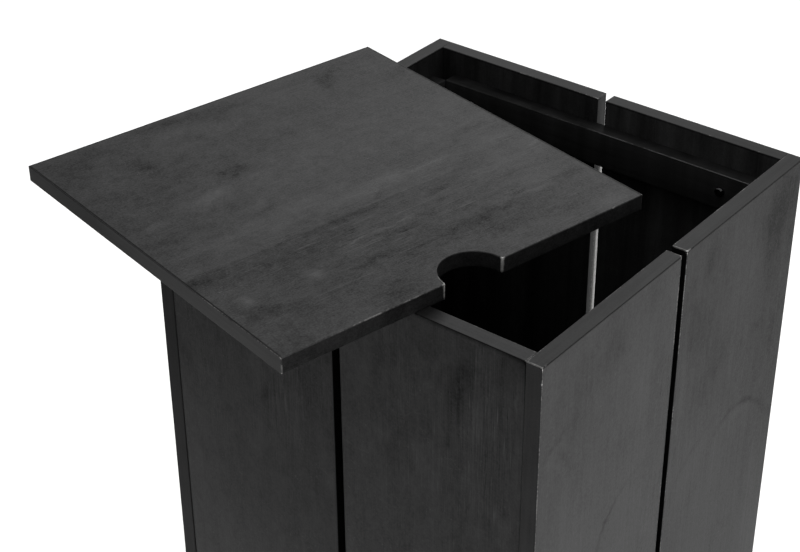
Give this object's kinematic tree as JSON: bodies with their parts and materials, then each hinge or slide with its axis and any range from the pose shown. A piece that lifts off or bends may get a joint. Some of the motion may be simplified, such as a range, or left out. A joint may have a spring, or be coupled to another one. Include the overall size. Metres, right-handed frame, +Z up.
{
  "type": "ashtray bin",
  "caption": "Square litter and ash bin of slotted dark boards with a loose flat lid, half-round drop notch, inner ledge and a lift-out steel liner.",
  "frame": {"origin": "centre of the base plate's underside, on the ground, which is also the middle of the square housing", "axes": "+Z up, -Y towards the front wall, +X towards the right wall"},
  "size_m": [0.5056, 0.5227, 0.8144],
  "materials": {
    "board_black": "black stained board under a worn satin film, upright grain",
    "edging_black": "satin edging strip with worn corners",
    "rail_black": "black stained batten",
    "screw_black": "black zinc screw",
    "plate_zinc": "zinc coated sheet",
    "liner_black": "black powder coat",
    "hardware_zinc": "dull zinc wire and pressings",
    "dowel_wood": "beech dowel"
  },
  "bodies": {
    "housing": {"right_panel_front": "board_black", "right_panel_rear": "board_black", "left_panel_front": "board_black", "left_panel_rear": "board_black", "front_panel_left": "board_black", "front_panel_right": "board_black", "rear_panel_left": "board_black", "rear_panel_right": "board_black", "corner_dowels": "dowel_wood", "right_top_edging": "edging_black", "left_top_edging": "edging_black", "rear_top_edging": "edging_black", "front_top_edging": "edging_black", "corner_edging": "edging_black", "slot_edging": "edging_black", "ledge_rail_front": "rail_black", "ledge_rail_rear": "rail_black", "ledge_rail_left": "rail_black", "ledge_rail_right": "rail_black", "ledge_rail_screws": "screw_black", "base_rail_front": "rail_black", "base_rail_rear": "rail_black", "base_rail_left": "rail_black", "base_rail_right": "rail_black", "base_rail_screws": "screw_black", "base_plate": "plate_zinc", "base_plate_screws": "screw_black"},
    "lid": {"lid_panel": "board_black", "lid_edging_right": "edging_black", "lid_edging_left": "edging_black", "lid_edging_back": "edging_black"},
    "liner": {"liner_body": "liner_black", "liner_rim_wire": "hardware_zinc", "liner_floor": "liner_black", "handle_clip_right": "hardware_zinc", "handle_clip_left": "hardware_zinc", "handle_rivets": "hardware_zinc"},
    "handle_right": {"drop_handle_right": "hardware_zinc"},
    "handle_left": {"drop_handle_left": "hardware_zinc"}
  },
  "joints": [
    {"name": "lid_lift", "type": "slide", "parent": "housing", "child": "lid", "axis": [0, 0, 1], "range_m": [0, 0.25]},
    {"name": "liner_lift", "type": "slide", "parent": "housing", "child": "liner", "axis": [0, 0, 1], "range_m": [0, 0.27]},
    {"name": "handle_right_swing", "type": "hinge", "parent": "liner", "child": "handle_right", "pos_m": [0.1557, 0, 0.478], "axis": [0, 1, 0], "range_deg": [0, 170]},
    {"name": "handle_left_swing", "type": "hinge", "parent": "liner", "child": "handle_left", "pos_m": [-0.1557, 0, 0.478], "axis": [0, -1, 0], "range_deg": [0, 170]}
  ]
}
